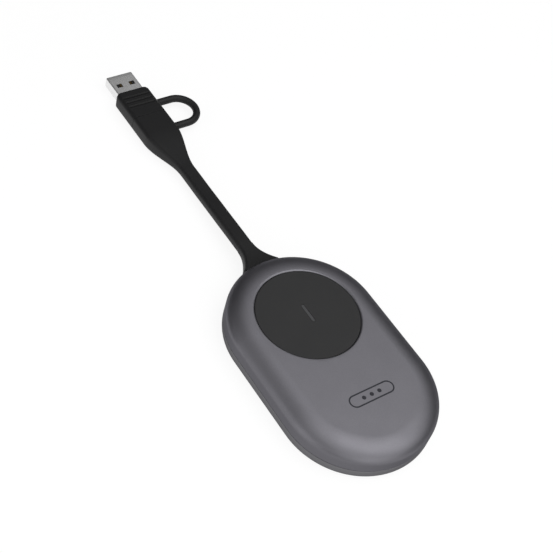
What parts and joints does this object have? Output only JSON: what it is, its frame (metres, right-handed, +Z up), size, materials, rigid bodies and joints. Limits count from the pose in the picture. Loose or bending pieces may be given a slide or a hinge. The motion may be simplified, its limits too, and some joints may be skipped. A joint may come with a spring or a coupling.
{
  "type": "wireless presentation dongle",
  "caption": "Oval tabletop dongle with a large round press button, a short flat cable and a USB-C plug wearing a tethered USB-A adapter.",
  "frame": {"origin": "under the middle of the oval body, on the table it stands on", "axes": "+Y along the body towards the cable, +Z up, +X to the side that the tether is on"},
  "size_m": [0.059, 0.206, 0.013],
  "materials": {
    "cover_paint": "satin",
    "base_plastic": "satin",
    "pad_rubber": "matte",
    "screw_steel": "satin",
    "button_plastic": "matte",
    "light_plastic": "satin",
    "chip_plastic": "matte",
    "inner_plastic": "matte",
    "dome_rubber": "matte",
    "switch_metal": "satin",
    "board_laminate": "satin",
    "thermal_rubber": "matte",
    "spreader_metal": "satin",
    "copper_foil": "satin",
    "ferrite": "matte",
    "connector_plastic": "satin",
    "lead_plastic": "satin",
    "cable_rubber": "matte",
    "plug_rubber": "matte",
    "shell_steel": "satin",
    "tongue_plastic": "matte",
    "contact_metal": "polished"
  },
  "bodies": {
    "root": {"top_cover": "cover_paint", "bottom_cover": "base_plastic", "base_pad": "pad_rubber", "housing_screws": "screw_steel", "button_frame": "inner_plastic", "return_domes": "dome_rubber", "tact_switch": "switch_metal", "status_leds": "connector_plastic", "main_board": "board_laminate", "processor": "chip_plastic", "memory_chips": "chip_plastic", "thermal_pad": "thermal_rubber", "heat_spreader": "spreader_metal", "radio_module": "board_laminate", "radio_shield": "switch_metal", "side_antennas": "copper_foil", "tap_coil": "copper_foil", "ferrite_sheet": "ferrite", "cable_connector": "connector_plastic", "cable_leads": "lead_plastic", "cable_strain_relief": "cable_rubber", "strap_cable": "cable_rubber", "plug_housing": "plug_rubber", "plug_board": "board_laminate", "usb_c_shell": "shell_steel", "usb_c_insert": "tongue_plastic", "tether_loop": "cable_rubber"},
    "button": {"share_button": "button_plastic", "light_bar": "light_plastic", "switch_plunger": "chip_plastic"},
    "adapter": {"adapter_housing": "plug_rubber", "adapter_board": "board_laminate", "usb_c_receptacle": "shell_steel", "usb_c_tongue": "tongue_plastic", "usb_a_shell": "shell_steel", "usb_a_insulator": "tongue_plastic", "usb_a_contacts": "contact_metal"}
  },
  "joints": [
    {"name": "button_press", "type": "slide", "parent": "root", "child": "button", "axis": [0, 0, -1], "range_m": [0, 0.0006], "stiffness_N_per_m": 1500, "deforming": ["return_domes"]},
    {"name": "adapter_pull", "type": "slide", "parent": "root", "child": "adapter", "axis": [0, 1, 0], "range_m": [0, 0.008], "deforming": ["tether_loop"]}
  ]
}
